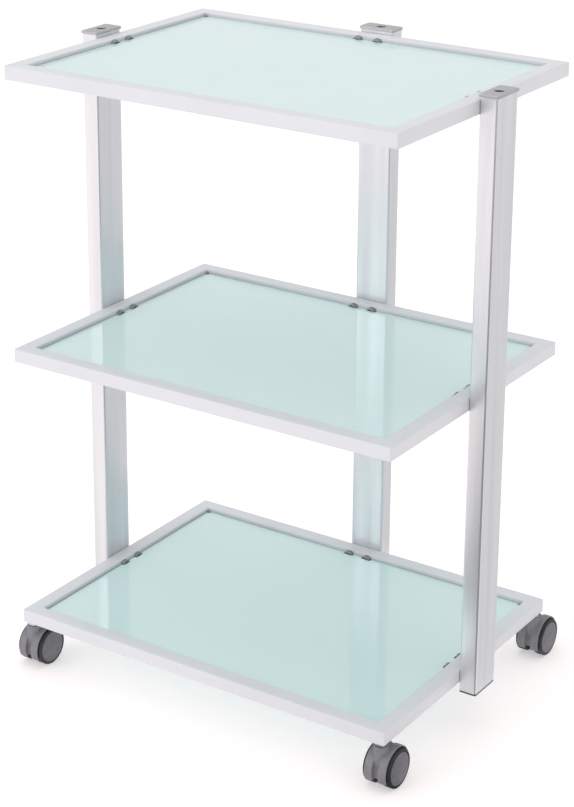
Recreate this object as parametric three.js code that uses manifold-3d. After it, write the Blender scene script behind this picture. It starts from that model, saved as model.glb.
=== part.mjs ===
// Rolling salon trolley: three glass shelves in white tube rims, three silver
// posts and four hooded twin-wheel casters. Millimetres, +Z up, +X along the
// long side of the shelves, +Y towards the side with the rear post.
import * as THREE from 'three';
import Module from 'manifold-3d';
import { mergeVertices } from 'three/addons/utils/BufferGeometryUtils.js';

const wasm = await Module();
wasm.setup();

// Shelf rims: welded rectangular tube with an inner ledge for the glass.
const SHELF_LENGTH = 560;
const SHELF_DEPTH = 416;
const RIM_HEIGHT = 18;
const RIM_WIDTH = 20;
const RIM_WALL = 1.5;
const RIM_CORNER_RADIUS = 2.5;
const LEDGE_WIDTH = 12;
const LEDGE_THICKNESS = 1.2;
const BOTTOM_SHELF_TOP = 82;
const SHELF_PITCH = 370;

// Glass panels on a ring of rubber cushion, with an upright lug in each corner.
const GLASS_THICKNESS = 4;
const GLASS_BELOW_RIM = 5;
const GLASS_EDGE_GAP = 1.2;
const NOTCH_GAP = 0.6;
const CUSHION_WIDTH = 6;
const LUG_SIZE = 4.8;
const LUG_BELOW_RIM = 3.5;

// Posts: hollow rectangular profile, wide side flat against the rims.
const POST_WIDTH = 50;
const POST_THICKNESS = 24;
const POST_WALL = 1.6;
const POST_CORNER_RADIUS = 3;
const POST_RISE = 4;
const POST_DROP = 9.5;
const CONTACT_GAP = 0.1;

// Post end pieces: metal cap with an accessory socket, plastic foot plug.
const CAP_OVERHANG = 1;
const CAP_THICKNESS = 3.5;
const CAP_PLUG_DEPTH = 6.5;
const FOOT_PLUG_DEPTH = 12;
const PLUG_GAP = 0.2;
const SOCKET_RADIUS = 6;
const FOOT_THICKNESS = 2.5;
const FOOT_WALL = 2;

// Button head screws, two side by side at every crossing of post and rim.
const SCREW_SPACING = 29;
const SCREW_BELOW_RIM = 6.8;
const SCREW_RADIUS = 3;
const SCREW_HOLE_RADIUS = 3.25;
const SCREW_REACH = 9;
const HEAD_RADIUS = 6.4;
const HEAD_HEIGHT = 4.8;
const HEX_RADIUS = 2.9;
const HEX_DEPTH = 2.4;
// Head outline as shares of its radius and height, from the flat to the rim.
const HEAD_PROFILE = [
  [0.5, 1],
  [0.8, 0.8],
  [0.96, 0.46],
  [1, 0.16],
  [1, 0],
];

// Casters: hood over two independent wheels, trailing behind a threaded stem.
const CASTER_INSET = 10;
const CASTER_TRAIL = 14;
const WHEEL_RADIUS = 25;
const WHEEL_WIDTH = 13.6;
const WHEEL_SIDE_GAP = 0.6;
const HUB_RADIUS = 21.2;
const HUB_DOME = 1.2;
const TREAD_CHAMFER = 1.5;
const AXLE_RADIUS = 3;
const AXLE_CLEARANCE = 0.15;
const AXLE_BOSS_RADIUS = 8;
const AXLE_REACH = 11;
const AXLE_END_GAP = 0.6;
const HOOD_CLEARANCE = 1.5;
const HOOD_SHELL = 1.9;
const HOOD_WEB = 12;
const HOOD_SIDE_REVEAL = 4.5;
const HOOD_WAIST = 8;
const HOOD_WAIST_RADIUS = 23;
const HOOD_EDGE_HEIGHT = 22;
const HOOD_EDGE_SLOPE = 18.3;
const NECK_RADIUS = 9;
const NECK_TOP = 59;
const STEM_RADIUS = 4;
const STEM_CLEARANCE = 0.3;
const STEM_DEPTH = 26;
const STEM_GRIP = 12;
const NUT_RADIUS = 8;
const NUT_LIFT = 0.3;
const BOSS_RADIUS = 6.6;

// How finely round things are divided.
const FINE = 24;
const MEDIUM = 20;
const COARSE = 12;
const HEXAGON = 6;
const CORNER_STEPS = 3;
const CUT = 1;

const SHELF_TOP = {
  bottom: BOTTOM_SHELF_TOP,
  middle: BOTTOM_SHELF_TOP + SHELF_PITCH,
  top: BOTTOM_SHELF_TOP + 2 * SHELF_PITCH,
};
const HALF_LENGTH = SHELF_LENGTH / 2;
const HALF_DEPTH = SHELF_DEPTH / 2;
const OPENING_LENGTH = SHELF_LENGTH - 2 * RIM_WIDTH;
const OPENING_DEPTH = SHELF_DEPTH - 2 * RIM_WIDTH;
const LEDGE_TOP = LEDGE_THICKNESS - RIM_HEIGHT;
const GLASS_BOTTOM = -GLASS_BELOW_RIM - GLASS_THICKNESS;
const CUSHION_INSET = CONTACT_GAP + HEAD_HEIGHT + NOTCH_GAP;
const POST_TOP = SHELF_TOP.top + POST_RISE;
const POST_BOTTOM = BOTTOM_SHELF_TOP - RIM_HEIGHT - POST_DROP;
const RIM_BOTTOM = BOTTOM_SHELF_TOP - RIM_HEIGHT;
const HOOD_RADIUS = WHEEL_RADIUS + HOOD_CLEARANCE + HOOD_SHELL;
const HOOD_WIDTH = HOOD_WEB + 2 * (WHEEL_WIDTH + WHEEL_SIDE_GAP - HOOD_SIDE_REVEAL);

const material = (color, roughness, metalness) =>
  new THREE.MeshStandardMaterial({ color, roughness, metalness });
const whitePowder = material(0xe9eaf0, 0.45, 0.0);
const paleGlass = material(0xbfe0da, 0.12, 0.0);
paleGlass.transparent = true;
paleGlass.opacity = 0.6;
const cushionRubber = material(0x55595c, 0.8, 0.0);
const silverPost = material(0xc3c6cd, 0.35, 0.9);
const greyCap = material(0x8d8f93, 0.35, 0.9);
const darkPlastic = material(0x3c3d42, 0.55, 0.0);
const darkScrew = material(0x3a3d42, 0.35, 0.8);
const hoodPlastic = material(0x77777d, 0.5, 0.0);
const wheelPlastic = material(0x6b6b71, 0.55, 0.0);
const brightSteel = material(0xb8babf, 0.3, 1.0);

// Closed solid for boolean work, from any three.js geometry.
function solid(geometry) {
  const bare = geometry.clone();
  bare.deleteAttribute('normal');
  bare.deleteAttribute('uv');
  const merged = mergeVertices(bare, 1e-5);
  return new wasm.Manifold(
    new wasm.Mesh({
      numProp: 3,
      vertProperties: new Float32Array(merged.attributes.position.array),
      triVerts: new Uint32Array(merged.index.array),
    }),
  );
}

// Back from a boolean result to a geometry with face normals.
function geometryOf(shape) {
  const mesh = shape.getMesh();
  const geometry = new THREE.BufferGeometry();
  const corners = new THREE.BufferAttribute(new Float32Array(mesh.vertProperties), 3);
  geometry.setAttribute('position', corners);
  geometry.setIndex(new THREE.BufferAttribute(new Uint32Array(mesh.triVerts), 1));
  geometry.computeVertexNormals();
  return geometry;
}

function block(sizeX, sizeY, lowZ, highZ, x = 0, y = 0) {
  const box = new THREE.BoxGeometry(sizeX, sizeY, highZ - lowZ);
  box.translate(x, y, (lowZ + highZ) / 2);
  return solid(box);
}

// Round bar along X, Y or Z, from low to high on that axis.
function bar(axis, radius, low, high, across = [0, 0], steps = COARSE) {
  const round = new THREE.CylinderGeometry(radius, radius, high - low, steps);
  if (axis === 'x') {
    round.rotateZ(-Math.PI / 2);
    round.translate((low + high) / 2, across[0], across[1]);
  } else if (axis === 'y') {
    round.translate(across[0], (low + high) / 2, across[1]);
  } else {
    round.rotateX(Math.PI / 2);
    round.translate(across[0], across[1], (low + high) / 2);
  }
  return solid(round);
}

// Rectangle with rounded corners, centred on the origin.
function roundedOutline(Kind, sizeX, sizeY, radius) {
  const x = sizeX / 2;
  const y = sizeY / 2;
  const outline = new Kind();
  outline.moveTo(x, y - radius);
  outline.absarc(x - radius, y - radius, radius, 0, Math.PI / 2, false);
  outline.absarc(radius - x, y - radius, radius, Math.PI / 2, Math.PI, false);
  outline.absarc(radius - x, radius - y, radius, Math.PI, 1.5 * Math.PI, false);
  outline.absarc(x - radius, radius - y, radius, 1.5 * Math.PI, 2 * Math.PI, false);
  return outline;
}

function roundedPlate(sizeX, sizeY, radius, lowZ, highZ, inner = null) {
  const outline = roundedOutline(THREE.Shape, sizeX, sizeY, radius);
  if (inner) {
    outline.holes.push(roundedOutline(THREE.Path, inner.x, inner.y, inner.radius));
  }
  const plate = new THREE.ExtrudeGeometry(outline, {
    depth: highZ - lowZ,
    bevelEnabled: false,
    curveSegments: CORNER_STEPS,
  });
  plate.translate(0, 0, lowZ);
  return solid(plate);
}

function mesh(name, geometry, look) {
  const part = new THREE.Mesh(geometry, look);
  part.name = name;
  return part;
}

// Where the posts stand: the outward direction and the rim face they touch.
const POSTS = [
  { name: 'left', outX: -1, outY: 0, reach: HALF_LENGTH },
  { name: 'rear', outX: 0, outY: 1, reach: HALF_DEPTH },
  { name: 'right', outX: 1, outY: 0, reach: HALF_LENGTH },
];

// Holes across one rim for the two screws of each post.
function screwHoles(height) {
  const holes = [];
  for (const post of POSTS) {
    for (const side of [-1, 1]) {
      const along = (side * SCREW_SPACING) / 2;
      const inner = post.reach - RIM_WIDTH - CUT;
      const outer = post.reach + CUT;
      if (post.outY === 0) {
        const low = post.outX > 0 ? inner : -outer;
        const high = post.outX > 0 ? outer : -inner;
        holes.push(bar('x', SCREW_HOLE_RADIUS, low, high, [along, height]));
      } else {
        holes.push(bar('y', SCREW_HOLE_RADIUS, inner, outer, [along, height]));
      }
    }
  }
  return holes;
}

const CORNERS = [
  { name: 'front_left', x: -1, y: -1 },
  { name: 'front_right', x: 1, y: -1 },
  { name: 'rear_right', x: 1, y: 1 },
  { name: 'rear_left', x: -1, y: 1 },
];

// One welded rim. Its top face is at z = 0. The tube is hollow all the way
// round, and the lowest rim has a bored boss in each corner for a caster stem.
function shelfFrame(withBosses) {
  let frame = roundedPlate(SHELF_LENGTH, SHELF_DEPTH, RIM_CORNER_RADIUS, -RIM_HEIGHT, 0);
  const ledgeLength = OPENING_LENGTH - 2 * LEDGE_WIDTH;
  const ledgeDepth = OPENING_DEPTH - 2 * LEDGE_WIDTH;
  frame = frame.subtract(block(OPENING_LENGTH, OPENING_DEPTH, LEDGE_TOP, CUT));
  frame = frame.subtract(block(ledgeLength, ledgeDepth, -RIM_HEIGHT - CUT, CUT));
  const hollowOuter = block(
    SHELF_LENGTH - 2 * RIM_WALL,
    SHELF_DEPTH - 2 * RIM_WALL,
    RIM_WALL - RIM_HEIGHT,
    -RIM_WALL,
  );
  const hollowInner = block(
    OPENING_LENGTH + 2 * RIM_WALL,
    OPENING_DEPTH + 2 * RIM_WALL,
    -RIM_HEIGHT,
    0,
  );
  let hollow = hollowOuter.subtract(hollowInner);
  if (withBosses) {
    for (const corner of CORNERS) {
      const x = corner.x * (HALF_LENGTH - CASTER_INSET);
      const y = corner.y * (HALF_DEPTH - CASTER_INSET);
      hollow = hollow.subtract(bar('z', BOSS_RADIUS, -RIM_HEIGHT, 0, [x, y]));
    }
  }
  frame = frame.subtract(hollow);
  for (const hole of screwHoles(-SCREW_BELOW_RIM)) {
    frame = frame.subtract(hole);
  }
  if (withBosses) {
    for (const corner of CORNERS) {
      const x = corner.x * (HALF_LENGTH - CASTER_INSET);
      const y = corner.y * (HALF_DEPTH - CASTER_INSET);
      const stemHole = STEM_RADIUS + STEM_CLEARANCE;
      const holeTop = STEM_GRIP + CUT - RIM_HEIGHT;
      frame = frame.subtract(bar('z', stemHole, -RIM_HEIGHT - CUT, holeTop, [x, y]));
    }
  }
  return geometryOf(frame);
}

// Rubber ring between the ledge and the glass. A foot in each corner joins the
// ring to a lug that stands outside the corner of the glass.
function cushion() {
  const ringLength = OPENING_LENGTH - 2 * CUSHION_INSET;
  const ringDepth = OPENING_DEPTH - 2 * CUSHION_INSET;
  let ring = block(ringLength, ringDepth, LEDGE_TOP, GLASS_BOTTOM);
  const innerLength = ringLength - 2 * CUSHION_WIDTH;
  const innerDepth = ringDepth - 2 * CUSHION_WIDTH;
  ring = ring.subtract(block(innerLength, innerDepth, LEDGE_TOP - CUT, GLASS_BOTTOM + CUT));
  const footSize = CUSHION_INSET + CUSHION_WIDTH - CONTACT_GAP;
  for (const corner of CORNERS) {
    const edgeX = HALF_LENGTH - RIM_WIDTH - CONTACT_GAP;
    const edgeY = HALF_DEPTH - RIM_WIDTH - CONTACT_GAP;
    const footX = corner.x * (edgeX - footSize / 2);
    const footY = corner.y * (edgeY - footSize / 2);
    ring = ring.add(block(footSize, footSize, LEDGE_TOP, GLASS_BOTTOM, footX, footY));
    const lugX = corner.x * (edgeX - LUG_SIZE / 2);
    const lugY = corner.y * (edgeY - LUG_SIZE / 2);
    ring = ring.add(block(LUG_SIZE, LUG_SIZE, LEDGE_TOP, -LUG_BELOW_RIM, lugX, lugY));
  }
  return geometryOf(ring);
}

// Flat panel, notched for the lug in each corner and for each screw head.
function glassPanel() {
  const length = OPENING_LENGTH - 2 * GLASS_EDGE_GAP;
  const depth = OPENING_DEPTH - 2 * GLASS_EDGE_GAP;
  let panel = block(length, depth, GLASS_BOTTOM, -GLASS_BELOW_RIM);
  const notch = (sizeX, sizeY, x, y) => {
    const cutter = block(sizeX, sizeY, GLASS_BOTTOM - CUT, CUT - GLASS_BELOW_RIM, x, y);
    panel = panel.subtract(cutter);
  };
  const lugNotch = 2 * (CONTACT_GAP + LUG_SIZE + NOTCH_GAP);
  for (const corner of CORNERS) {
    const x = (corner.x * OPENING_LENGTH) / 2;
    const y = (corner.y * OPENING_DEPTH) / 2;
    notch(lugNotch, lugNotch, x, y);
  }
  const headDepth = 2 * (CONTACT_GAP + HEAD_HEIGHT + NOTCH_GAP);
  const headWidth = 2 * (HEAD_RADIUS + NOTCH_GAP);
  for (const post of POSTS) {
    const edge = post.reach - RIM_WIDTH;
    for (const side of [-1, 1]) {
      const along = (side * SCREW_SPACING) / 2;
      if (post.outY === 0) {
        notch(headDepth, headWidth, post.outX * edge, along);
      } else {
        notch(headWidth, headDepth, along, edge);
      }
    }
  }
  return geometryOf(panel);
}

const innerSize = {
  x: POST_WIDTH - 2 * POST_WALL,
  y: POST_THICKNESS - 2 * POST_WALL,
  radius: POST_CORNER_RADIUS - POST_WALL,
};

// Post with its wide side along X and its rim side facing -Y, inner face at y = 0.
function postTube() {
  let tube = roundedPlate(
    POST_WIDTH,
    POST_THICKNESS,
    POST_CORNER_RADIUS,
    POST_BOTTOM,
    POST_TOP,
    innerSize,
  );
  tube = tube.translate([0, POST_THICKNESS / 2, 0]);
  for (const top of Object.values(SHELF_TOP)) {
    for (const side of [-1, 1]) {
      const across = [(side * SCREW_SPACING) / 2, top - SCREW_BELOW_RIM];
      tube = tube.subtract(bar('y', SCREW_HOLE_RADIUS, -CUT, POST_WALL + CUT, across));
    }
  }
  return geometryOf(tube);
}

const plugLength = innerSize.x - 2 * PLUG_GAP;
const plugDepth = innerSize.y - 2 * PLUG_GAP;

// Cap plate on the post's top end, with a plug below and a socket through both.
function postCap() {
  let cap = roundedPlate(
    POST_WIDTH + 2 * CAP_OVERHANG,
    POST_THICKNESS + 2 * CAP_OVERHANG,
    POST_CORNER_RADIUS,
    POST_TOP,
    POST_TOP + CAP_THICKNESS,
  );
  const plug = roundedPlate(
    plugLength,
    plugDepth,
    innerSize.radius,
    POST_TOP - CAP_PLUG_DEPTH,
    POST_TOP + CUT,
  );
  cap = cap.add(plug);
  const socketBottom = POST_TOP - CAP_PLUG_DEPTH - CUT;
  const socketTop = POST_TOP + CAP_THICKNESS + CUT;
  cap = cap.subtract(bar('z', SOCKET_RADIUS, socketBottom, socketTop, [0, 0], MEDIUM));
  return geometryOf(cap.translate([0, POST_THICKNESS / 2, 0]));
}

// Foot plug: thin plate under the post and a hollow plug pressed up inside it.
function footPlug() {
  let foot = roundedPlate(
    POST_WIDTH,
    POST_THICKNESS,
    POST_CORNER_RADIUS,
    POST_BOTTOM - FOOT_THICKNESS,
    POST_BOTTOM,
  );
  const plugInside = {
    x: plugLength - 2 * FOOT_WALL,
    y: plugDepth - 2 * FOOT_WALL,
    radius: innerSize.radius,
  };
  const plug = roundedPlate(
    plugLength,
    plugDepth,
    innerSize.radius,
    POST_BOTTOM - CUT,
    POST_BOTTOM + FOOT_PLUG_DEPTH,
    plugInside,
  );
  foot = foot.add(plug);
  return geometryOf(foot.translate([0, POST_THICKNESS / 2, 0]));
}

// Screw along +Y: domed head behind y = 0, shank ahead of it.
function screwGeometry() {
  const length = RIM_WIDTH + POST_WALL + SCREW_REACH;
  const outline = [new THREE.Vector2(0, -HEAD_HEIGHT)];
  for (const [across, up] of HEAD_PROFILE) {
    outline.push(new THREE.Vector2(HEAD_RADIUS * across, -HEAD_HEIGHT * up));
  }
  outline.push(new THREE.Vector2(SCREW_RADIUS, 0));
  outline.push(new THREE.Vector2(SCREW_RADIUS, length));
  outline.push(new THREE.Vector2(0, length));
  const body = solid(new THREE.LatheGeometry(outline, COARSE));
  const hexBottom = HEX_DEPTH - HEAD_HEIGHT;
  const hex = bar('y', HEX_RADIUS, -HEAD_HEIGHT - CUT, hexBottom, [0, 0], HEXAGON);
  return geometryOf(body.subtract(hex));
}

// Caster pieces stand on z = 0, with the stem axis at the origin and the
// wheels trailing towards +Y. The hood is two covers joined by a narrower
// waist, and it leaves the outer part of each tread bare.
function hoodGeometry() {
  const axle = [CASTER_TRAIL, WHEEL_RADIUS];
  const halfWidth = HOOD_WIDTH / 2;
  const halfWeb = HOOD_WEB / 2;
  const halfWaist = HOOD_WAIST / 2;
  let hood = bar('x', HOOD_RADIUS, -halfWidth, halfWidth, axle, FINE);
  const around = bar('x', HOOD_RADIUS + CUT, -halfWaist, halfWaist, axle, FINE);
  const within = bar('x', HOOD_WAIST_RADIUS, -HOOD_WAIST, HOOD_WAIST, axle, FINE);
  hood = hood.subtract(around.subtract(within));
  const neckLow = WHEEL_RADIUS;
  hood = hood.add(bar('z', NECK_RADIUS, neckLow, NECK_TOP, [0, 0], MEDIUM));
  const wellRadius = WHEEL_RADIUS + HOOD_CLEARANCE;
  hood = hood.subtract(bar('x', wellRadius, halfWeb, halfWidth + CUT, axle, FINE));
  hood = hood.subtract(bar('x', wellRadius, -halfWidth - CUT, -halfWeb, axle, FINE));
  const below = block(2 * HOOD_WIDTH, 4 * HOOD_RADIUS, -2 * HOOD_RADIUS, 0);
  const slanted = below.rotate([HOOD_EDGE_SLOPE, 0, 0]);
  hood = hood.subtract(slanted.translate([0, CASTER_TRAIL, HOOD_EDGE_HEIGHT]));
  hood = hood.add(bar('x', AXLE_BOSS_RADIUS, -halfWeb, halfWeb, axle, MEDIUM));
  const bore = STEM_RADIUS + STEM_CLEARANCE;
  const boreLow = NECK_TOP - STEM_DEPTH - CUT;
  hood = hood.subtract(bar('z', bore, boreLow, NECK_TOP + CUT));
  const axleHole = AXLE_RADIUS + AXLE_CLEARANCE;
  hood = hood.subtract(bar('x', axleHole, -halfWeb - CUT, halfWeb + CUT, axle));
  return geometryOf(hood);
}

// Wheel along its axle: blind bore and recess on the inner side, a shallow
// domed hub disc on the outer side, and a chamfered tread.
function wheelGeometry() {
  const bore = AXLE_RADIUS + AXLE_CLEARANCE;
  const outer = WHEEL_WIDTH - HUB_DOME;
  const outline = [
    new THREE.Vector2(0, AXLE_REACH),
    new THREE.Vector2(bore, AXLE_REACH),
    new THREE.Vector2(bore, 0),
    new THREE.Vector2(WHEEL_RADIUS - TREAD_CHAMFER, 0),
    new THREE.Vector2(WHEEL_RADIUS, TREAD_CHAMFER),
    new THREE.Vector2(WHEEL_RADIUS, outer - TREAD_CHAMFER),
    new THREE.Vector2(WHEEL_RADIUS - TREAD_CHAMFER, outer),
    new THREE.Vector2(HUB_RADIUS, outer),
    new THREE.Vector2(0, WHEEL_WIDTH),
  ];
  return new THREE.LatheGeometry(outline, FINE);
}

function stemGeometry() {
  const outline = [
    new THREE.Vector2(0, NECK_TOP - STEM_DEPTH),
    new THREE.Vector2(STEM_RADIUS, NECK_TOP - STEM_DEPTH),
    new THREE.Vector2(STEM_RADIUS, NECK_TOP + NUT_LIFT),
    new THREE.Vector2(NUT_RADIUS, NECK_TOP + NUT_LIFT),
    new THREE.Vector2(NUT_RADIUS, RIM_BOTTOM - CONTACT_GAP),
    new THREE.Vector2(STEM_RADIUS, RIM_BOTTOM - CONTACT_GAP),
    new THREE.Vector2(STEM_RADIUS, RIM_BOTTOM + STEM_GRIP),
    new THREE.Vector2(0, RIM_BOTTOM + STEM_GRIP),
  ];
  const stem = new THREE.LatheGeometry(outline, COARSE);
  stem.rotateX(Math.PI / 2);
  return stem;
}

function axleGeometry() {
  const reach = HOOD_WEB / 2 + WHEEL_SIDE_GAP + AXLE_REACH - AXLE_END_GAP;
  return geometryOf(bar('x', AXLE_RADIUS, -reach, reach, [CASTER_TRAIL, WHEEL_RADIUS]));
}

const trolley = new THREE.Group();
trolley.name = 'salon_trolley';

// The casters stand furthest out at the front and back, so centring them
// centres the whole trolley over the origin.
const frameGroup = new THREE.Group();
frameGroup.position.y = -CASTER_TRAIL;
trolley.add(frameGroup);

for (const [level, top] of Object.entries(SHELF_TOP)) {
  const shelf = new THREE.Group();
  shelf.position.z = top;
  shelf.add(mesh(`shelf_frame_${level}`, shelfFrame(level === 'bottom'), whitePowder));
  shelf.add(mesh(`glass_cushion_${level}`, cushion(), cushionRubber));
  shelf.add(mesh(`shelf_glass_${level}`, glassPanel(), paleGlass));
  frameGroup.add(shelf);
}

for (const post of POSTS) {
  const stand = new THREE.Group();
  stand.position.x = post.outX * (post.reach + CONTACT_GAP);
  stand.position.y = post.outY * (post.reach + CONTACT_GAP);
  stand.rotation.z = (-post.outX * Math.PI) / 2;
  stand.add(mesh(`post_${post.name}`, postTube(), silverPost));
  stand.add(mesh(`post_cap_${post.name}`, postCap(), greyCap));
  stand.add(mesh(`post_foot_plug_${post.name}`, footPlug(), darkPlastic));
  for (const [level, top] of Object.entries(SHELF_TOP)) {
    for (const side of [-1, 1]) {
      const hand = side < 0 ? 'a' : 'b';
      const name = `screw_${level}_${post.name}_${hand}`;
      const screw = mesh(name, screwGeometry(), darkScrew);
      screw.position.x = (side * SCREW_SPACING) / 2;
      screw.position.y = -CONTACT_GAP - RIM_WIDTH;
      screw.position.z = top - SCREW_BELOW_RIM;
      stand.add(screw);
    }
  }
  frameGroup.add(stand);
}

for (const corner of CORNERS) {
  const caster = new THREE.Group();
  caster.position.x = corner.x * (HALF_LENGTH - CASTER_INSET);
  caster.position.y = corner.y * (HALF_DEPTH - CASTER_INSET);
  const prefix = `caster_${corner.name}`;
  caster.add(mesh(`${prefix}_stem`, stemGeometry(), brightSteel));
  caster.add(mesh(`${prefix}_hood`, hoodGeometry(), hoodPlastic));
  caster.add(mesh(`${prefix}_axle`, axleGeometry(), brightSteel));
  for (const side of [-1, 1]) {
    const hand = side < 0 ? 'left' : 'right';
    const wheel = mesh(`${prefix}_wheel_${hand}`, wheelGeometry(), wheelPlastic);
    wheel.position.x = side * (HOOD_WEB / 2 + WHEEL_SIDE_GAP);
    wheel.position.y = CASTER_TRAIL;
    wheel.position.z = WHEEL_RADIUS;
    wheel.rotation.z = (-side * Math.PI) / 2;
    caster.add(wheel);
  }
  frameGroup.add(caster);
}

export default trolley;
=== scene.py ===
"""Looks of a rolling salon trolley: three glass shelves in white tube rims, three
silver posts and four hooded twin-wheel casters, on a pale studio floor.

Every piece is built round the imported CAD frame, in metres, in the frame's own axes:
+Z up, +X along the shelves, +Y towards the side with the rear post."""

import math

import bmesh
import bpy
from mathutils import Matrix, Vector

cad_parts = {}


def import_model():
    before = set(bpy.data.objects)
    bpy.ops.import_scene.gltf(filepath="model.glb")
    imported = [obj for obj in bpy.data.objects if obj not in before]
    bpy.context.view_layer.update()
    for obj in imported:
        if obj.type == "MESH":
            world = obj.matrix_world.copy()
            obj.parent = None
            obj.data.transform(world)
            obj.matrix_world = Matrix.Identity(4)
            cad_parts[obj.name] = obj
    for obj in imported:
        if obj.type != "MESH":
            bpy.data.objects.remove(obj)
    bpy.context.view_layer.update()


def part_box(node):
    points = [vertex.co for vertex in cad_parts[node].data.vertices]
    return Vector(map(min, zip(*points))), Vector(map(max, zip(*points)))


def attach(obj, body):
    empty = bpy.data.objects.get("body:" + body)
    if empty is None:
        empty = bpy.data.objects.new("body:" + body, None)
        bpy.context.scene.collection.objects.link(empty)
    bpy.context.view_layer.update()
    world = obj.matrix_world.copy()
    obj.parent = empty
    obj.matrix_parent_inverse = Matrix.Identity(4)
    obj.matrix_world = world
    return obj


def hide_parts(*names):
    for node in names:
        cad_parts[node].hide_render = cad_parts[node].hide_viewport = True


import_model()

MM = 0.001
LEVELS = ("bottom", "middle", "top")
POSTS = {"left": Vector((-1, 0, 0)), "rear": Vector((0, 1, 0)), "right": Vector((1, 0, 0))}
CORNERS = ("front_left", "front_right", "rear_right", "rear_left")
HANDS = {"left": -1, "right": 1}
ROOT = "trolley_frame"

# Shelf rims: square tube with a glass ledge along its lower inner edge.
RIM_WIDTH = 20 * MM
RIM_CORNER = 2.5 * MM
RIM_EDGE = 1.5 * MM
INNER_FILLET = 1.2 * MM
LEDGE_WIDTH = 12 * MM
LEDGE_THICKNESS = 1.2 * MM

# Glass and its cushion, a rubber ring with a foot and a lug in each corner.
GLASS_EDGE_GAP = 1.1 * MM
GLASS_ARRIS = 0.5 * MM
NOTCH_GAP = 0.6 * MM
NOTCH_FILLET = 1.6 * MM
CUSHION_WIDTH = 6 * MM
CUSHION_EDGE = 0.4 * MM
LUG_SIZE = 4.8 * MM
LUG_ROUNDING = 1.3 * MM

# Posts and their end pieces.
POST_CORNER = 3 * MM
POST_WALL = 1.6 * MM
PLUG_GAP = 0.2 * MM
PLUG_WALL = 2 * MM
CAP_EDGE = 0.7 * MM
CAP_PLATE = 3.5 * MM
SOCKET_RADIUS = 6 * MM
SOCKET_CHAMFER = 0.7 * MM
FOOT_FLANGE = 2.5 * MM

# Button head screws.
HEAD_RADIUS = 6.4 * MM
HEAD_HEIGHT = 4.8 * MM
HEX_RADIUS = 2.9 * MM
HEX_DEPTH = 2.4 * MM
SHANK_RADIUS = 3 * MM

# Casters, measured from the stem axis and the floor.
TRAIL = 14 * MM
WHEEL_RADIUS = 25 * MM
WHEEL_WIDTH = 13.6 * MM
HUB_RADIUS = 21.2 * MM
HOOD_RADIUS = 28.4 * MM
HOOD_HALF_WIDTH = 15.7 * MM
HOOD_WEB_HALF = 6 * MM
WELL_RADIUS = 26.5 * MM
HOOD_WAIST_RADIUS = 23 * MM
HOOD_WAIST_HALF = 4 * MM
HOOD_EDGE_HEIGHT = 22 * MM
HOOD_EDGE_SLOPE = 18.3
AXLE_BOSS_RADIUS = 8 * MM
NECK_RADIUS = 9 * MM
NECK_TOP = 59 * MM
STEM_RADIUS = 4 * MM
STEM_BORE = 4.3 * MM
NUT_RADIUS = 8 * MM
STEM_DEPTH = 26 * MM
AXLE_RADIUS = 3 * MM
AXLE_BORE = 3.15 * MM

# Camera, in metres and degrees. The azimuth turns from the front towards +X.
CAMERA_PLACE = (1.4151, -2.1619, 1.4288)
CAMERA_AZIMUTH = 33.39
CAMERA_ELEVATION = 18.25
CAMERA_ROLL = 0.393
CAMERA_LENS = 95.54
CAMERA_SENSOR = 36
CAMERA_SHIFT = -0.1902

# Studio, in metres. A flag's glow is its brightness where the white surround is about 1.
FLOOR_HALF = 30
FLOOR_GLOW = 0.42
SURROUND_GLOW = 0.84
LIGHTS_FACE = Vector((0, 0, 0.4))
FLAG_NEAR = 0.35
FLAG_FAR = 4.5
FLAG_LIFT = 1 * MM

# How finely round things are divided, and how far apart faces turn at a sharp edge.
ROUND = 64
QUARTER = 6
FINE = 96
SHARP = 32


# --- outlines and meshes ----------------------------------------------------------


def arc(centre, radius, start, end, steps=QUARTER):
    """Points on an arc, angles in degrees, both ends included."""
    points = []
    for i in range(steps + 1):
        angle = math.radians(start + (end - start) * i / steps)
        x = centre[0] + radius * math.cos(angle)
        y = centre[1] + radius * math.sin(angle)
        points.append((x, y))
    return points


def rounded_rectangle(half_x, half_y, radius, steps=QUARTER):
    """Outline of a rectangle with rounded corners, round the origin."""
    x = half_x - radius
    y = half_y - radius
    outline = arc((x, y), radius, 0, 90, steps)
    outline += arc((-x, y), radius, 90, 180, steps)
    outline += arc((-x, -y), radius, 180, 270, steps)
    outline += arc((x, -y), radius, 270, 360, steps)
    return outline


def circle(radius, count=ROUND):
    return [
        (radius * math.cos(math.tau * i / count), radius * math.sin(math.tau * i / count))
        for i in range(count)
    ]


def polygon_ring(corner_radius, sides):
    """A regular polygon's outline, sampled at the same angles as circle()."""
    flat = corner_radius * math.cos(math.pi / sides)
    ring = []
    for i in range(ROUND):
        angle = math.tau * i / ROUND
        nearest = math.tau / sides * (math.floor(angle * sides / math.tau) + 0.5)
        reach = flat / math.cos(angle - nearest)
        ring.append((reach * math.cos(angle), reach * math.sin(angle)))
    return ring


def at_height(outline, z, centre=(0, 0)):
    return [Vector((x + centre[0], y + centre[1], z)) for x, y in outline]


def loft(rings, closed=False):
    """A closed surface through rings of points. An open loft gets a face on each end."""
    made = bmesh.new()
    rows = [[made.verts.new(point) for point in ring] for ring in rings]
    pairs = list(zip(rows, rows[1:]))
    if closed:
        pairs.append((rows[-1], rows[0]))
    for low, high in pairs:
        for i in range(len(low)):
            j = (i + 1) % len(low)
            made.faces.new((low[i], low[j], high[j], high[i]))
    if not closed:
        made.faces.new(rows[0])
        made.faces.new(rows[-1])
    bmesh.ops.remove_doubles(made, verts=made.verts, dist=1e-7)
    bmesh.ops.recalc_face_normals(made, faces=made.faces)
    return made


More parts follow.
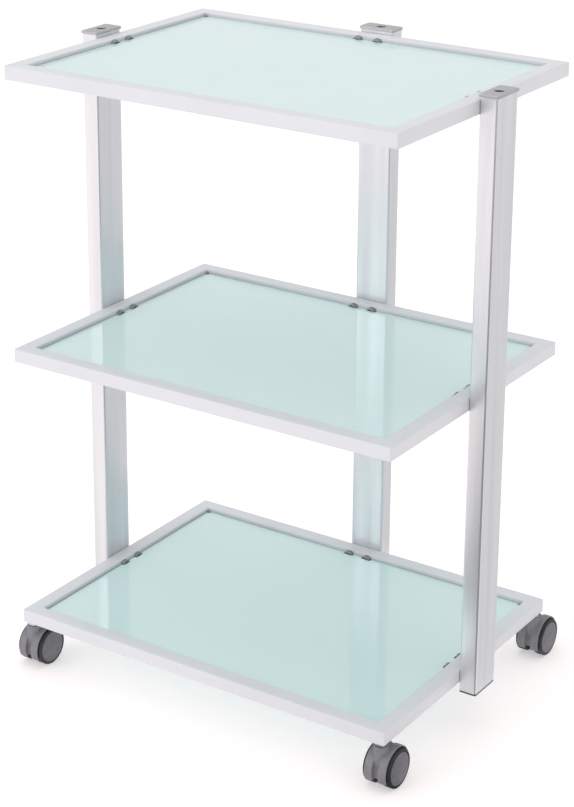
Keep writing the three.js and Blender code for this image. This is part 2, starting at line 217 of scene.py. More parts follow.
def lathe(profile, count=ROUND):
    """A body of revolution about Z from (radius, z) points that start and end on the axis."""
    made = bmesh.new()
    rows = []
    for radius, z in profile:
        if radius == 0:
            rows.append([made.verts.new((0, 0, z))])
        else:
            rows.append([made.verts.new(p) for p in at_height(circle(radius, count), z)])
    for low, high in zip(rows, rows[1:]):
        for i in range(count):
            j = (i + 1) % count
            if len(low) == 1:
                made.faces.new((low[0], high[j], high[i]))
            elif len(high) == 1:
                made.faces.new((low[i], low[j], high[0]))
            else:
                made.faces.new((low[i], low[j], high[j], high[i]))
    bmesh.ops.recalc_face_normals(made, faces=made.faces)
    return made


def shade(made, limit):
    """Smooth faces, with a sharp edge wherever two faces turn by more than the limit."""
    for face in made.faces:
        face.smooth = True
    for edge in made.edges:
        if len(edge.link_faces) == 2:
            edge.smooth = edge.calc_face_angle() < math.radians(limit)


def mesh_from(made, name, looks, limit=SHARP):
    shade(made, limit)
    mesh = bpy.data.meshes.new(name)
    made.to_mesh(mesh)
    made.free()
    for look in looks:
        mesh.materials.append(look)
    return mesh


def piece(name, mesh, body, node, place=None):
    """An object of the trolley that stands for one CAD node and rides on its body."""
    made = bpy.data.objects.new(name, mesh)
    bpy.context.scene.collection.objects.link(made)
    if place is not None:
        made.matrix_world = place
    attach(made, body)
    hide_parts(node)


def middle_of(node):
    low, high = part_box(node)
    return (low + high) / 2


def half_size(node):
    low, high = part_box(node)
    return (high - low) / 2


# --- materials --------------------------------------------------------------------


class Look:
    """A node material under construction, with short calls for the usual nodes."""

    def __init__(self, name, roughness, metallic=0.0):
        self.material = bpy.data.materials.new(name)
        self.material.use_nodes = True
        self.tree = self.material.node_tree
        self.shader = self.tree.nodes["Principled BSDF"]
        self.shader.inputs["Metallic"].default_value = metallic
        self.shader.inputs["Roughness"].default_value = roughness
        self.place = self.tree.nodes.new("ShaderNodeTexCoord").outputs["Object"]

    def set(self, name, value):
        self.shader.inputs[name].default_value = value

    def noise(self, scale, stretch=(1, 1, 1), detail=4):
        """Noise with features of about 1 / scale metres, stretched by an axis factor."""
        mapping = self.tree.nodes.new("ShaderNodeMapping")
        mapping.inputs["Scale"].default_value = stretch
        noise = self.tree.nodes.new("ShaderNodeTexNoise")
        noise.inputs["Scale"].default_value = scale
        noise.inputs["Detail"].default_value = detail
        noise.inputs["Roughness"].default_value = 0.5
        self.tree.links.new(self.place, mapping.inputs["Vector"])
        self.tree.links.new(mapping.outputs["Vector"], noise.inputs["Vector"])
        return noise.outputs["Fac"]

    def ramp(self, factor, low, high):
        """Maps a noise value's usual span, 0.3 to 0.7, to the range from low to high."""
        mapped = self.tree.nodes.new("ShaderNodeMapRange")
        mapped.inputs["From Min"].default_value = 0.3
        mapped.inputs["From Max"].default_value = 0.7
        mapped.inputs["To Min"].default_value = low
        mapped.inputs["To Max"].default_value = high
        self.tree.links.new(factor, mapped.inputs["Value"])
        return mapped.outputs["Result"]

    def colour(self, factor, first, second):
        mix = self.tree.nodes.new("ShaderNodeMix")
        mix.data_type = "RGBA"
        mix.inputs["A"].default_value = (*first, 1)
        mix.inputs["B"].default_value = (*second, 1)
        self.tree.links.new(factor, mix.inputs["Factor"])
        self.tree.links.new(mix.outputs["Result"], self.shader.inputs["Base Color"])

    def roughness(self, factor):
        self.tree.links.new(factor, self.shader.inputs["Roughness"])

    def bump(self, height, distance, strength):
        bump = self.tree.nodes.new("ShaderNodeBump")
        bump.inputs["Strength"].default_value = strength
        bump.inputs["Distance"].default_value = distance
        self.tree.links.new(height, bump.inputs["Height"])
        self.tree.links.new(bump.outputs["Normal"], self.shader.inputs["Normal"])


def powder_coat():
    """Satin white powder coat with a fine orange peel and faint cloudiness."""
    look = Look("white_powder_coat", 0.4)
    look.set("IOR", 1.5)
    cloud = look.ramp(look.noise(9, detail=5), 0, 1)
    look.colour(cloud, (0.715, 0.722, 0.755), (0.68, 0.687, 0.72))
    look.roughness(look.ramp(look.noise(60, detail=3), 0.34, 0.48))
    look.bump(look.noise(700, detail=2), 0.05 * MM, 0.5)
    return look.material


def silver():
    """Satin anodised aluminium with a drawn grain that runs up the post."""
    look = Look("silver_post", 0.34, 0.9)
    grain = look.noise(900, stretch=(1, 1, 0.02), detail=3)
    streaks = look.noise(90, stretch=(1, 1, 0.03), detail=3)
    look.colour(look.ramp(streaks, 0, 1), (0.77, 0.775, 0.80), (0.70, 0.705, 0.735))
    look.roughness(look.ramp(streaks, 0.3, 0.42))
    look.bump(grain, 0.02 * MM, 0.4)
    return look.material


def brushed_grey():
    """Grey satin metal of the post caps, brushed along the floor plane."""
    look = Look("grey_cap_metal", 0.4, 0.85)
    grain = look.noise(1200, stretch=(1, 0.06, 1), detail=3)
    look.colour(look.ramp(grain, 0, 1), (0.51, 0.51, 0.52), (0.42, 0.42, 0.435))
    look.roughness(look.ramp(look.noise(200), 0.34, 0.5))
    look.bump(grain, 0.02 * MM, 0.4)
    return look.material


def dark_steel():
    """Blued steel of the screws, with slight turning marks and wear."""
    look = Look("dark_screw_steel", 0.35, 0.9)
    spots = look.noise(900, detail=4)
    look.colour(look.ramp(spots, 0, 1), (0.30, 0.32, 0.33), (0.20, 0.215, 0.225))
    look.roughness(look.ramp(spots, 0.28, 0.45))
    look.bump(spots, 0.01 * MM, 0.4)
    return look.material


def zinc():
    """Bright zinc-plated steel of stems, nuts and axles."""
    look = Look("bright_steel", 0.28, 1.0)
    cloud = look.noise(350, detail=4)
    look.colour(look.ramp(cloud, 0, 1), (0.70, 0.71, 0.73), (0.55, 0.56, 0.58))
    look.roughness(look.ramp(cloud, 0.28, 0.4))
    look.bump(cloud, 0.01 * MM, 0.3)
    return look.material


def moulded(name, first, second, grain=1500, low=0.42, high=0.58):
    """Moulded plastic or rubber with a fine grain and uneven sheen."""
    look = Look(name, (low + high) / 2)
    cloud = look.noise(120, detail=4)
    look.colour(look.ramp(cloud, 0, 1), first, second)
    look.roughness(look.ramp(cloud, low, high))
    look.bump(look.noise(grain, detail=3), 0.05 * MM, 0.5)
    return look.material


def milky_glass():
    """Pale green glass, milky inside and polished on its faces."""
    look = Look("green_glass", 0.3)
    look.set("IOR", 1.5)
    look.set("Transmission Weight", 0.12)
    look.set("Coat Weight", 1.0)
    look.set("Coat Roughness", 0.015)
    look.set("Coat IOR", 1.9)
    cloud = look.noise(5, detail=2)
    look.colour(look.ramp(cloud, 0, 1), (0.70, 0.91, 0.90), (0.68, 0.895, 0.885))
    look.roughness(look.ramp(look.noise(25, detail=3), 0.32, 0.42))
    return look.material


def glass_edge():
    """The ground edge of the glass, where its green is seen end on."""
    look = Look("green_glass_edge", 0.36)
    look.set("IOR", 1.5)
    look.set("Transmission Weight", 0.3)
    streaks = look.noise(300, stretch=(1, 1, 0.2), detail=3)
    look.colour(look.ramp(streaks, 0, 1), (0.16, 0.46, 0.38), (0.10, 0.36, 0.30))
    look.roughness(look.ramp(streaks, 0.3, 0.42))
    look.bump(streaks, 0.02 * MM, 0.4)
    return look.material


WHITE = powder_coat()
SILVER = silver()
CAP_GREY = brushed_grey()
SCREW_STEEL = dark_steel()
ZINC = zinc()
GLASS = milky_glass()
GLASS_EDGE = glass_edge()
RUBBER = moulded("cushion_rubber", (0.26, 0.29, 0.29), (0.20, 0.225, 0.225), 900, 0.6, 0.8)
FOOT_PLASTIC = moulded("foot_plug_plastic", (0.10, 0.10, 0.12), (0.07, 0.07, 0.085))
HOOD_PLASTIC = moulded("hood_plastic", (0.225, 0.222, 0.245), (0.187, 0.185, 0.205))
HUB_PLASTIC = moulded("wheel_plastic", (0.165, 0.163, 0.18), (0.135, 0.133, 0.148))
TREAD = moulded("wheel_tread", (0.026, 0.025, 0.031), (0.016, 0.016, 0.02), 700, 0.5, 0.7)


# --- joining and cutting solids ---------------------------------------------------


def scratch_object(name, made):
    """A passing object in millimetres, at which size the booleans are steady."""
    bmesh.ops.scale(made, vec=(1 / MM, 1 / MM, 1 / MM), verts=made.verts)
    mesh = bpy.data.meshes.new(name)
    made.to_mesh(mesh)
    made.free()
    body = bpy.data.objects.new(name, mesh)
    bpy.context.scene.collection.objects.link(body)
    return body


def baked(body):
    """The body's mesh with its modifiers applied, and the body itself removed."""
    bpy.context.view_layer.update()
    graph = bpy.context.evaluated_depsgraph_get()
    mesh = bpy.data.meshes.new_from_object(body.evaluated_get(graph))
    bpy.data.objects.remove(body)
    return mesh


def combine(body, tool, operation):
    """The body joined with the tool or cut by it. Both objects are used up."""
    cut = body.modifiers.new(operation, "BOOLEAN")
    cut.operation = operation
    cut.solver = "EXACT"
    cut.object = tool
    name = body.name
    mesh = baked(body)
    bpy.data.objects.remove(tool)
    result = bpy.data.objects.new(name, mesh)
    bpy.context.scene.collection.objects.link(result)
    return result


def fused(body, others, voxel):
    """Body and others remeshed into one skin, whose voxel size is in millimetres."""
    made = bmesh.new()
    made.from_mesh(body.data)
    for other in others:
        made.from_mesh(other.data)
        bpy.data.objects.remove(other)
    made.to_mesh(body.data)
    made.free()
    remesh = body.modifiers.new("remesh", "REMESH")
    remesh.mode = "VOXEL"
    remesh.voxel_size = voxel
    mesh = baked(body)
    result = bpy.data.objects.new("fused", mesh)
    bpy.context.scene.collection.objects.link(result)
    return result


def finished(body, name, look, limit=SHARP):
    """The body's mesh, back in metres, shaded and with its one material."""
    mesh = baked(body)
    mesh.transform(Matrix.Scale(MM, 4))
    mesh.materials.clear()
    made = bmesh.new()
    made.from_mesh(mesh)
    bpy.data.meshes.remove(mesh)
    for face in made.faces:
        face.material_index = 0
    return mesh_from(made, name, [look], limit)


# --- shelves ----------------------------------------------------------------------


def rim_section(height):
    """Closed section of a rim as (distance in from the outer face, z below the top)."""
    edge = RIM_EDGE
    ledge_top = LEDGE_THICKNESS - height
    tip = LEDGE_THICKNESS / 2
    inner = RIM_WIDTH + INNER_FILLET
    section = arc((edge, edge - height), edge, 270, 180)
    section += arc((edge, -edge), edge, 180, 90)
    section += arc((RIM_WIDTH - edge, -edge), edge, 90, 0)
    section += arc((inner, ledge_top + INNER_FILLET), INNER_FILLET, 180, 270)
    section += arc((RIM_WIDTH + LEDGE_WIDTH - tip, ledge_top - tip), tip, 90, -90)
    return section


def shelf_frame(level):
    """Rim of one shelf: its section carried round the rectangle."""
    node = f"shelf_frame_{level}"
    centre = middle_of(node)
    half = half_size(node)
    rings = []
    for inwards, z in rim_section(2 * half.z):
        radius = max(RIM_CORNER - inwards, INNER_FILLET)
        outline = rounded_rectangle(half.x - inwards, half.y - inwards, radius)
        rings.append(at_height(outline, centre.z + half.z + z, centre))
    mesh = mesh_from(loft(rings, closed=True), node, [WHITE])
    piece(f"rim_{level}", mesh, ROOT, node)


def glass_side(along, reach, notch, heads, inset):
    """One side of the glass, facing +X and drawn upwards in Y, with the corner notch that
    follows it. The heads are the places of the screw heads that it makes room for."""
    edge = reach - inset
    half_width = HEAD_RADIUS + NOTCH_GAP + inset
    head_wall = reach + GLASS_EDGE_GAP - HEAD_HEIGHT - NOTCH_GAP - inset
    fillet = NOTCH_FILLET
    points = [(edge, notch + inset - along)]
    for y in heads:
        points.append((edge, y - half_width))
        points += arc((head_wall + fillet, y - half_width + fillet), fillet, 270, 180, 4)
        points += arc((head_wall + fillet, y + half_width - fillet), fillet, 180, 90, 4)
        points.append((edge, y + half_width))
    points.append((edge, along - notch - inset))
    corner = (reach - notch - inset + fillet, along - notch - inset + fillet)
    points += arc(corner, fillet, 270, 180, 4)
    return points


def glass_outline(half, notch, inset):
    """Outline of the glass, notched at its corners and for the screw heads."""
    spacing = abs(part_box("screw_top_rear_b")[1].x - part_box("screw_top_rear_a")[1].x)
    heads = (-spacing / 2, spacing / 2)
    outline = glass_side(half.y, half.x, notch, heads, inset)
    outline += [(-y, x) for x, y in glass_side(half.x, half.y, notch, heads, inset)]
    outline += [(-x, -y) for x, y in glass_side(half.y, half.x, notch, heads, inset)]
    outline += [(y, -x) for x, y in glass_side(half.x, half.y, notch, [], inset)]
    return outline


def shelf_glass(level):
    """Glass panel with fine arrises, its ground edge a deeper green than its faces."""
    node = f"shelf_glass_{level}"
    centre = middle_of(node)
    half = half_size(node)
    opening = half_size(f"glass_cushion_{level}").x
    notch = LUG_SIZE + NOTCH_GAP + half.x - opening
    rings = []
    for inset, z in (
        (GLASS_ARRIS, -half.z),
        (0, GLASS_ARRIS - half.z),
        (0, half.z - GLASS_ARRIS),
        (GLASS_ARRIS, half.z),
    ):
        rings.append(at_height(glass_outline(half, notch, inset), centre.z + z, centre))
    made = loft(rings)
    for face in made.faces:
        face.material_index = 0 if abs(face.normal.z) > 0.9 else 1
    mesh = mesh_from(made, node, [GLASS, GLASS_EDGE])
    piece(f"glass_{level}", mesh, ROOT, node)


def cushion_outline(half, gap, foot, inset):
    """Rectangle set in by the gap, with a square foot in each corner that fills the gap."""
    far_x = half.x - inset
    far_y = half.y - inset
    near_x = half.x - gap - inset
    near_y = half.y - gap - inset
    start = foot - inset
    quarter = [(near_x, half.y - start), (far_x, half.y - start)]
    quarter += arc((far_x - LUG_ROUNDING, far_y - LUG_ROUNDING), LUG_ROUNDING, 0, 90, 4)
    quarter += [(half.x - start, far_y), (half.x - start, near_y)]
    outline = list(quarter)
    outline += [(-x, y) for x, y in reversed(quarter)]
    outline += [(-x, -y) for x, y in quarter]
    outline += [(x, -y) for x, y in reversed(quarter)]
    return outline


def cushion(level):
    """Rubber ring between ledge and glass, with a rounded lug standing in each corner."""
    node = f"glass_cushion_{level}"
    centre = middle_of(node)
    half = half_size(node)
    low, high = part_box(node)
    gap = HEAD_HEIGHT + NOTCH_GAP
    foot = gap + CUSHION_WIDTH
    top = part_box(f"shelf_glass_{level}")[0].z
    rings = []
    for inset, z in (
        (CUSHION_EDGE, low.z),
        (0, low.z + CUSHION_EDGE),
        (0, top - CUSHION_EDGE),
        (CUSHION_EDGE, top),
    ):
        rings.append(at_height(cushion_outline(half, gap, foot, inset), z, centre))
    body = scratch_object("cushion", loft(rings))
    inside = rounded_rectangle(half.x - foot, half.y - foot, LUG_ROUNDING)
    past = 1 * MM
    hole = loft([at_height(inside, z, centre) for z in (low.z - past, top + past)])
    body = combine(body, scratch_object("hole", hole), "DIFFERENCE")
    for x in (-1, 1):
        for y in (-1, 1):
            reach = LUG_SIZE / 2
            spot = (centre.x + x * (half.x - reach), centre.y + y * (half.y - reach))
            outline = rounded_rectangle(reach, reach, LUG_ROUNDING)
            rings = [at_height(outline, low.z + past, spot)]
            for across, up in arc((0, 0), LUG_ROUNDING, 0, 75, 4):
                inset = LUG_ROUNDING - across
                outline = rounded_rectangle(reach - inset, reach - inset, LUG_ROUNDING)
                rings.append(at_height(outline, high.z - LUG_ROUNDING + up, spot))
            flat = reach - LUG_ROUNDING
            outline = rounded_rectangle(flat, flat, flat * 0.9)
            rings.append(at_height(outline, high.z, spot))
            body = combine(body, scratch_object("lug", loft(rings)), "UNION")
    mesh = finished(body, node, RUBBER)
    piece(f"cushion_{level}", mesh, ROOT, node)


# --- posts, caps, foot plugs and screws -------------------------------------------


def post(name):
    """Rectangular tube with rounded corners and its ends dressed."""
    node = f"post_{name}"
    centre = middle_of(node)
    half = half_size(node)
    dressed = 0.3 * MM
    rings = []
    for inset, z in (
        (POST_WALL, -half.z),
        (dressed, -half.z),
        (0, dressed - half.z),
        (0, half.z - dressed),
        (dressed, half.z),
        (POST_WALL, half.z),
    ):
        outline = rounded_rectangle(half.x - inset, half.y - inset, POST_CORNER - inset, 8)
        rings.append(at_height(outline, centre.z + z, centre))
    mesh = mesh_from(loft(rings, closed=True), node, [SILVER])
    piece(f"{node}_tube", mesh, ROOT, node)


def matched_circle(outline, radius):
    """A circle with one point in the direction of each point of the outline."""
    ring = []
    for x, y in outline:
        length = math.hypot(x, y)
        ring.append((radius * x / length, radius * y / length))
    return ring


def split_long_sides(outline, longest):
    """Adds points along straight stretches, so that a circle matches them evenly."""
    dense = []
    for i, (x, y) in enumerate(outline):
        next_x, next_y = outline[(i + 1) % len(outline)]
        count = max(1, math.ceil(math.hypot(next_x - x, next_y - y) / longest))
        for k in range(count):
            share = k / count
            dense.append((x + (next_x - x) * share, y + (next_y - y) * share))
    return dense


def post_cap(name):
    """Flat cap with a soft edge and a chamfered round socket right through it."""
    node = f"post_cap_{name}"
    centre = middle_of(node)
    half = half_size(node)
    low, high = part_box(node)
    plate_bottom = high.z - CAP_PLATE
    tube = half_size(f"post_{name}")
    plug_x = tube.x - POST_WALL - PLUG_GAP
    plug_y = tube.y - POST_WALL - PLUG_GAP
    step = 2 * MM
    dressed = 0.2 * MM
    aspect = half.y / half.x
    base = split_long_sides(rounded_rectangle(1, aspect, 0.12), step / half.x)

    def plate(inset, z):
        scale_x = half.x - inset
        scale_y = (half.y - inset) / aspect
        return at_height([(x * scale_x, y * scale_y) for x, y in base], z, centre)

    def plug(z):
        scale_y = plug_y / aspect
        return at_height([(x * plug_x, y * scale_y) for x, y in base], z, centre)

    def hole(radius, z):
        return at_height(matched_circle(base, radius), z, centre)

    edge = arc((0, 0), CAP_EDGE, 0, 90, 4)
    rings = [plug(low.z), plug(plate_bottom)]
    rings.append(plate(dressed, plate_bottom))
    rings.append(plate(0, plate_bottom + dressed))
    for across, up in edge:
        rings.append(plate(CAP_EDGE - across, high.z - CAP_EDGE + up))
    rings.append(hole(SOCKET_RADIUS + SOCKET_CHAMFER, high.z))
    rings.append(hole(SOCKET_RADIUS, high.z - SOCKET_CHAMFER))
    rings.append(hole(SOCKET_RADIUS, low.z))
    mesh = mesh_from(loft(rings, closed=True), node, [CAP_GREY])
    piece(f"{node}_plate", mesh, ROOT, node)


def foot_plug(name):
    """Flat plastic foot under the post with a hollow plug inside the tube."""
    node = f"post_foot_plug_{name}"
    centre = middle_of(node)
    half = half_size(node)
    low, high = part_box(node)
    flange_top = low.z + FOOT_FLANGE
    plug = POST_WALL + PLUG_GAP
    inside = plug + PLUG_WALL
    soft = 0.6 * MM
    rings = []
    for inset, z in (
        (soft, low.z),
        (0.2 * MM, low.z + 0.2 * MM),
        (0, low.z + soft),
        (0, flange_top),
        (plug, flange_top),
        (plug, high.z),
        (inside, high.z),
        (inside, flange_top),
    ):
        radius = max(POST_CORNER - inset, 0.6 * MM)
        outline = rounded_rectangle(half.x - inset, half.y - inset, radius)
        rings.append(at_height(outline, z, centre))
    mesh = mesh_from(loft(rings), node, [FOOT_PLASTIC])
    piece(f"{node}_body", mesh, ROOT, node)


def screw_mesh(length):
    """Button head with a hexagon recess, head upwards, seat at z = 0."""
    dome = []
    flat = 0.48 * HEAD_RADIUS
    for i in range(9):
        share = i / 8
        radius = flat + (HEAD_RADIUS - flat) * math.sin(share * math.pi / 2)
        z = HEAD_HEIGHT * (0.12 + 0.88 * math.cos(share * math.pi / 2))
        dome.append((radius, z))
    tip = 0.6 * MM
    rings = [
        at_height(polygon_ring(0.4 * HEX_RADIUS, 6), HEAD_HEIGHT - HEX_DEPTH - 0.4 * MM),
        at_height(polygon_ring(HEX_RADIUS, 6), HEAD_HEIGHT - HEX_DEPTH),
        at_height(polygon_ring(HEX_RADIUS, 6), HEAD_HEIGHT - 0.2 * MM),
        at_height(circle(HEX_RADIUS + 0.2 * MM), HEAD_HEIGHT),
    ]
    for radius, z in dome:
        rings.append(at_height(circle(radius), z))
    rings.append(at_height(circle(HEAD_RADIUS - 0.15 * MM), 0))
    rings.append(at_height(circle(SHANK_RADIUS), 0))
    rings.append(at_height(circle(SHANK_RADIUS), tip - length))
    rings.append(at_height(circle(SHANK_RADIUS - tip), -length))
    return mesh_from(loft(rings), "button_head_screw", [SCREW_STEEL])


def screws():
    """Two screws at each crossing of a post and a rim, their heads inside the rim."""
    first_low, first_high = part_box("screw_top_rear_a")
    mesh = screw_mesh(first_high.y - first_low.y - HEAD_HEIGHT)
    for level in LEVELS:
        for name, outward in POSTS.items():
            turn = (-outward).to_track_quat("Z", "Y").to_matrix().to_4x4()
            for hand in ("a", "b"):
                node = f"screw_{level}_{name}_{hand}"
                centre = middle_of(node)
                reach = abs(half_size(node).dot(outward)) - HEAD_HEIGHT
                seat = centre - outward * reach
                place = Matrix.Translation(seat) @ turn
                piece(f"{node}_button", mesh, ROOT, node, place)


# --- casters ----------------------------------------------------------------------


def drum(radius, low, high, edge, count):
    """Solid round bar along Z with rounded rims."""
    profile = [(0, low)]
    profile += [(radius - edge + x, low + edge + y) for x, y in arc((0, 0), edge, -90, 0)]
    profile += [(radius - edge + x, high - edge + y) for x, y in arc((0, 0), edge, 0, 90)]
    profile.append((0, high))
    return lathe(profile, count)


def along_x(made, y, z):
    """Turns a body drawn along Z to lie along X, through the point (0, y, z)."""
    turn = Matrix.Rotation(math.pi / 2, 4, "Y")
    bmesh.ops.transform(made, matrix=Matrix.Translation((0, y, z)) @ turn, verts=made.verts)
    return made


def slanted_block(size, slope, centre):
    """Cube whose top face passes through the centre, turned about the X axis."""
    made = bmesh.new()
    bmesh.ops.create_cube(made, size=size)
    turn = Matrix.Rotation(math.radians(slope), 4, "X")
    place = Matrix.Translation(centre) @ turn @ Matrix.Translation((0, 0, -size / 2))
    bmesh.ops.transform(made, matrix=place, verts=made.verts)
    return made


def hood_body():
    """The hood's body of revolution along X: two rounded covers joined by a narrower waist."""
    edge = 2.2 * MM
    crease = 1 * MM
    lip = 0.3 * MM
    band = HOOD_RADIUS - edge
    fold = HOOD_RADIUS - crease
    side = HOOD_HALF_WIDTH
    turn = HOOD_WAIST_HALF + crease
    profile = [(0, -HOOD_WEB_HALF), (WELL_RADIUS, -HOOD_WEB_HALF), (WELL_RADIUS, -side + lip)]
    profile += [(band + x, edge - side + y) for x, y in arc((0, 0), edge, -75, 0)]
    profile += [(fold + x, y - turn) for x, y in arc((0, 0), crease, 0, 90)]
    profile += [(HOOD_WAIST_RADIUS, -HOOD_WAIST_HALF), (HOOD_WAIST_RADIUS, HOOD_WAIST_HALF)]
    profile += [(fold + x, y + turn) for x, y in arc((0, 0), crease, -90, 0)]
    profile += [(band + x, side - edge + y) for x, y in arc((0, 0), edge, 0, 75)]
    profile += [(WELL_RADIUS, side - lip), (WELL_RADIUS, HOOD_WEB_HALF), (0, HOOD_WEB_HALF)]
    return along_x(lathe(profile, FINE), TRAIL, WHEEL_RADIUS)


def sleeve(outer, inner, low, high):
    """Round tube along Z."""
    rings = []
    for radius, z in ((outer, low), (outer, high), (inner, high), (inner, low)):
        rings.append(at_height(circle(radius), z))
    return loft(rings, closed=True)


def hood_mesh():
    """Hood over both wheels, with a neck for the stem, softened like a moulding."""
    past = 5 * MM
    dressed = 0.2 * MM
    sides = 60
    voxel = 0.6
    body = scratch_object("hood", hood_body())
    below = slanted_block(4 * HOOD_RADIUS, HOOD_EDGE_SLOPE, (0, TRAIL, HOOD_EDGE_HEIGHT))
    body = combine(body, scratch_object("below", below), "DIFFERENCE")
    bore_bottom = NECK_TOP - STEM_DEPTH - 1 * MM
    bore = drum(STEM_BORE, bore_bottom, NECK_TOP + past, dressed, sides)
    body = combine(body, scratch_object("bore", bore), "DIFFERENCE")
    axle_bore = drum(AXLE_BORE, -2 * HOOD_WEB_HALF, 2 * HOOD_WEB_HALF, dressed, sides)
    along_x(axle_bore, TRAIL, WHEEL_RADIUS)
    body = combine(body, scratch_object("axle_bore", axle_bore), "DIFFERENCE")
    neck = sleeve(NECK_RADIUS, STEM_BORE, bore_bottom, NECK_TOP)
    boss = sleeve(AXLE_BOSS_RADIUS, AXLE_BORE, -HOOD_WEB_HALF, HOOD_WEB_HALF)
    along_x(boss, TRAIL, WHEEL_RADIUS)
    body = fused(body, [scratch_object("neck", neck), scratch_object("boss", boss)], voxel)
    soften = body.modifiers.new("soften", "SMOOTH")
    soften.factor = 0.5
    soften.iterations = 4
    return finished(body, "caster_hood", HOOD_PLASTIC, 60)


def wheel_mesh():
    """Wheel along +Z from its inner face, with a domed hub disc outside."""
    shoulder = 1.6 * MM
    inner_rim = 20.5 * MM
    recess = 3 * MM
    bore = AXLE_BORE
    boss = 6 * MM
    side = WHEEL_WIDTH - 1.2 * MM
    groove = 0.7 * MM
    bore_depth = 11 * MM
    rim_inset = 0.3 * MM
    rim_top = side + 0.15 * MM
    profile = [(0, bore_depth), (bore, bore_depth), (bore, 0), (boss, 0), (boss, recess)]
    profile += [(inner_rim, recess), (inner_rim, 0)]
    low = arc((WHEEL_RADIUS - shoulder, shoulder), shoulder, -90, 0)
    high = arc((WHEEL_RADIUS - shoulder, side - shoulder), shoulder, 0, 90)
    profile += low + high
    profile += [(HUB_RADIUS + groove, side), (HUB_RADIUS + groove, side - groove)]
    profile += [(HUB_RADIUS, side - groove), (HUB_RADIUS, side - 0.2 * MM)]
    profile.append((HUB_RADIUS - rim_inset, rim_top))
    steps = 8
    for i in range(1, steps):
        share = i / steps
        radius = (HUB_RADIUS - rim_inset) * (1 - share)
        rise = 1 - (1 - share) ** 2
        profile.append((radius, rim_top + (WHEEL_WIDTH - rim_top) * rise))
    profile.append((0, WHEEL_WIDTH))
    made = lathe(profile, FINE)
    for face in made.faces:
        spot = face.calc_center_median()
        outside = spot.z > side - 0.15 * MM
        hub = math.hypot(spot.x, spot.y) < HUB_RADIUS
        face.material_index = 0 if hub and outside else 1
    return mesh_from(made, "caster_wheel", [HUB_PLASTIC, TREAD])


def stem_mesh(low, nut_low, nut_high, high):
    """Stem with a hexagon nut, its corners chamfered top and bottom."""
    chamfer = 0.5 * MM
    inner = NUT_RADIUS * math.cos(math.pi / 6) - 0.3 * MM
    tip = 0.6 * MM
    rings = [
        at_height(circle(STEM_RADIUS - tip), low),
        at_height(circle(STEM_RADIUS), low + tip),
        at_height(circle(STEM_RADIUS), nut_low),
        at_height(circle(inner), nut_low),
        at_height(polygon_ring(NUT_RADIUS, 6), nut_low + chamfer),
        at_height(polygon_ring(NUT_RADIUS, 6), nut_high - chamfer),
        at_height(circle(inner), nut_high),
        at_height(circle(STEM_RADIUS), nut_high),
        at_height(circle(STEM_RADIUS), high - tip),
        at_height(circle(STEM_RADIUS - tip), high),
    ]
    return mesh_from(loft(rings), "caster_stem", [ZINC], limit=20)


def casters():
    """Four casters of shared meshes, each placed by its own CAD nodes."""
    hood = hood_mesh()
    wheel = wheel_mesh()
    stem_low, stem_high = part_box("caster_front_left_stem")
    rim_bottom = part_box("shelf_frame_bottom")[0].z
    nut_low = NECK_TOP + 0.3 * MM
    stem = stem_mesh(stem_low.z, nut_low, rim_bottom - 0.1 * MM, stem_high.z)
    axle_half = half_size("caster_front_left_axle").x
    pin_body = drum(AXLE_RADIUS, -axle_half, axle_half, 0.5 * MM, 48)
    axle = mesh_from(along_x(pin_body, 0, 0), "caster_axle", [ZINC])
    for corner in CORNERS:
        prefix = f"caster_{corner}"
        stem_axis = middle_of(f"{prefix}_stem")
        foot = Matrix.Translation((stem_axis.x, stem_axis.y, 0))
        swivel = f"{prefix}_swivel"
        piece(f"{prefix}_stem_nut", stem, ROOT, f"{prefix}_stem", foot)
        piece(f"{prefix}_cover", hood, swivel, f"{prefix}_hood", foot)
        pin = Matrix.Translation(middle_of(f"{prefix}_axle"))
        piece(f"{prefix}_pin", axle, swivel, f"{prefix}_axle", pin)
        for hand, side in HANDS.items():
            node = f"{prefix}_wheel_{hand}"
            low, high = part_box(node)
            inner_x = low.x if side > 0 else high.x
            centre = (low + high) / 2
            turn = Matrix.Rotation(side * math.pi / 2, 4, "Y")
            place = Matrix.Translation((inner_x, centre.y, centre.z)) @ turn
            piece(f"{prefix}_roller_{hand}", wheel, node, node, place)


# --- studio -----------------------------------------------------------------------


def floor():
    """Large pale floor that glows a little, so that shadows on it stay faint. Not a piece.
    Its slight red makes up for the green light that falls through the glass."""
    made = bmesh.new()
    spots = ((-1, -1), (1, -1), (1, 1), (-1, 1))
    made.faces.new([made.verts.new((x * FLOOR_HALF, y * FLOOR_HALF, 0)) for x, y in spots])
    look = Look("studio_floor", 0.6)
    cloud = look.noise(0.8, detail=2)
    look.colour(look.ramp(cloud, 0, 1), (0.765, 0.70, 0.70), (0.745, 0.68, 0.68))
    look.set("Specular IOR Level", 0.0)
    look.set("Emission Color", (1, 1, 1, 1))
    look.set("Emission Strength", FLOOR_GLOW)
    look.bump(look.noise(300, detail=2), 0.05 * MM, 0.2)
    ground = bpy.data.objects.new("floor", mesh_from(made, "floor", [look.material]))
    bpy.context.scene.collection.objects.link(ground)


def world():
    """Even white surround."""
    surround = bpy.data.worlds.new("studio")
    surround.use_nodes = True
    back = surround.node_tree.nodes["Background"]
    back.inputs["Color"].default_value = (1.0, 1.0, 1.0, 1)
    back.inputs["Strength"].default_value = SURROUND_GLOW
    bpy.context.scene.world = surround


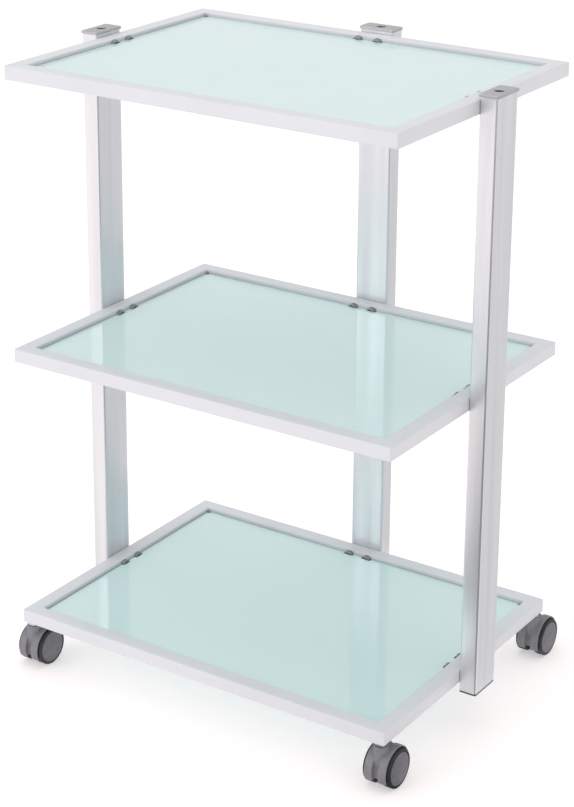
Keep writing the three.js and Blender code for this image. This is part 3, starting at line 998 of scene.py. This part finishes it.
def flag(name, azimuth, spread, glow):
    """Grey sector lying just over the floor that only reflections see. It darkens the
    metal faces and corners that mirror this side of the floor."""
    steps = 16
    made = bmesh.new()
    rows = []
    for radius in (FLAG_NEAR, FLAG_FAR):
        row = []
        for i in range(steps + 1):
            angle = math.radians(azimuth + (i / steps - 0.5) * spread)
            spot = (radius * math.sin(angle), -radius * math.cos(angle), FLAG_LIFT)
            row.append(made.verts.new(spot))
        rows.append(row)
    for i in range(steps):
        made.faces.new((rows[0][i], rows[1][i], rows[1][i + 1], rows[0][i + 1]))
    look = Look(name, 1.0)
    look.set("Base Color", (0, 0, 0, 1))
    look.set("Specular IOR Level", 0.0)
    look.set("Emission Color", (1, 1, 1, 1))
    look.set("Emission Strength", glow)
    sector = bpy.data.objects.new(name, mesh_from(made, name, [look.material]))
    bpy.context.scene.collection.objects.link(sector)
    sector.visible_camera = False
    sector.visible_diffuse = False
    sector.visible_shadow = False
    sector.visible_transmission = False


def softbox(name, place, size, power):
    """Square area light turned towards the middle of the trolley."""
    data = bpy.data.lights.new(name, "AREA")
    data.shape = "RECTANGLE"
    data.size = size
    data.size_y = size
    data.energy = power
    box = bpy.data.objects.new(name, data)
    box.location = place
    direction = LIGHTS_FACE - Vector(place)
    box.rotation_mode = "QUATERNION"
    box.rotation_quaternion = direction.to_track_quat("-Z", "Y")
    bpy.context.scene.collection.objects.link(box)


def lights():
    softbox("key", (-1.6, -3.4, 2.2), 2.6, 32)
    softbox("top", (-0.4, 0.4, 3.4), 3.0, 14)


def camera():
    """Camera a little over two metres off, to the right and above, level but for a hair."""
    azimuth = math.radians(CAMERA_AZIMUTH)
    elevation = math.radians(CAMERA_ELEVATION)
    roll = math.radians(CAMERA_ROLL)
    back = Vector(
        (
            math.sin(azimuth) * math.cos(elevation),
            -math.cos(azimuth) * math.cos(elevation),
            math.sin(elevation),
        )
    )
    level_right = (-back).cross(Vector((0, 0, 1))).normalized()
    level_up = level_right.cross(-back)
    right = level_right * math.cos(roll) + level_up * math.sin(roll)
    up = level_up * math.cos(roll) - level_right * math.sin(roll)
    turn = Matrix((right, up, back)).transposed().to_4x4()
    data = bpy.data.cameras.new("camera")
    data.lens = CAMERA_LENS
    data.sensor_width = CAMERA_SENSOR
    data.shift_y = CAMERA_SHIFT
    made = bpy.data.objects.new("camera", data)
    made.matrix_world = Matrix.Translation(CAMERA_PLACE) @ turn
    bpy.context.scene.collection.objects.link(made)
    bpy.context.scene.camera = made


for level in LEVELS:
    shelf_frame(level)
    shelf_glass(level)
    cushion(level)
for name in POSTS:
    post(name)
    post_cap(name)
    foot_plug(name)
screws()
casters()
floor()
world()
flag("flag_front", CAMERA_AZIMUTH + 7, 80, 0.2)
flag("flag_side", 180 - CAMERA_AZIMUTH, 96, 0.8)
lights()
camera()
bpy.context.scene.view_settings.view_transform = "Standard"
